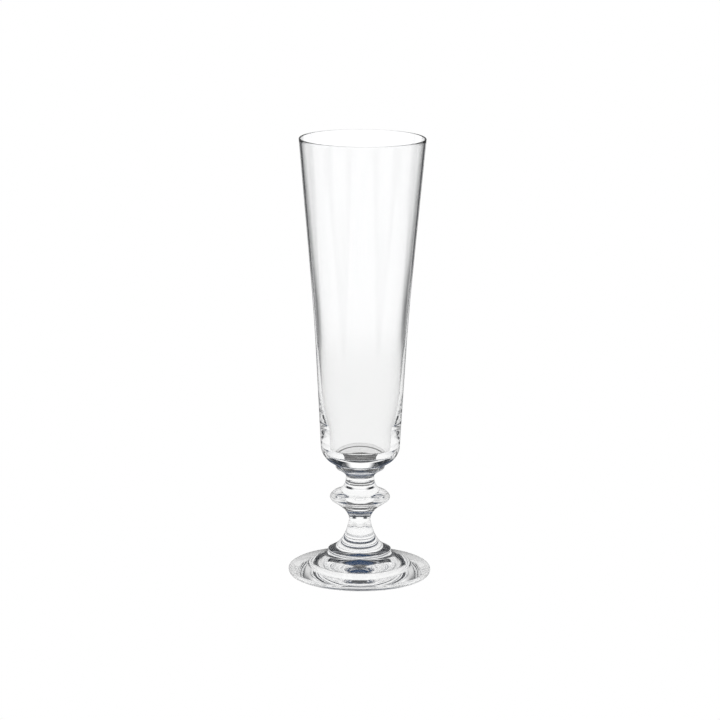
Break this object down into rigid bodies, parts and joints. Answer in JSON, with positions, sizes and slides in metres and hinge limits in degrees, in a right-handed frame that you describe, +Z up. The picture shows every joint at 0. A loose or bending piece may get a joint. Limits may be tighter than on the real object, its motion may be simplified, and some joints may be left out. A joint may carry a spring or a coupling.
{
  "type": "champagne flute",
  "caption": "Tall clear-glass flute with a slightly flared bowl, a wafer collar, a bladed knop, a waisted cone stem and a spread foot.",
  "frame": {"origin": "centre of the flat ring under the foot, on the surface that the glass stands on", "axes": "+Z up along the glass's axis; the glass is round, so X and Y are equal"},
  "size_m": [0.0664, 0.0664, 0.205],
  "materials": {
    "blown_glass": "clear, colourless, fire-polished, very slightly wavy",
    "tooled_glass": "clear, colourless, thick, with faint tool rings"
  },
  "bodies": {
    "root": {"foot": "tooled_glass", "stem": "tooled_glass", "knop": "tooled_glass", "merese": "tooled_glass", "bowl": "blown_glass"}
  },
  "joints": []
}
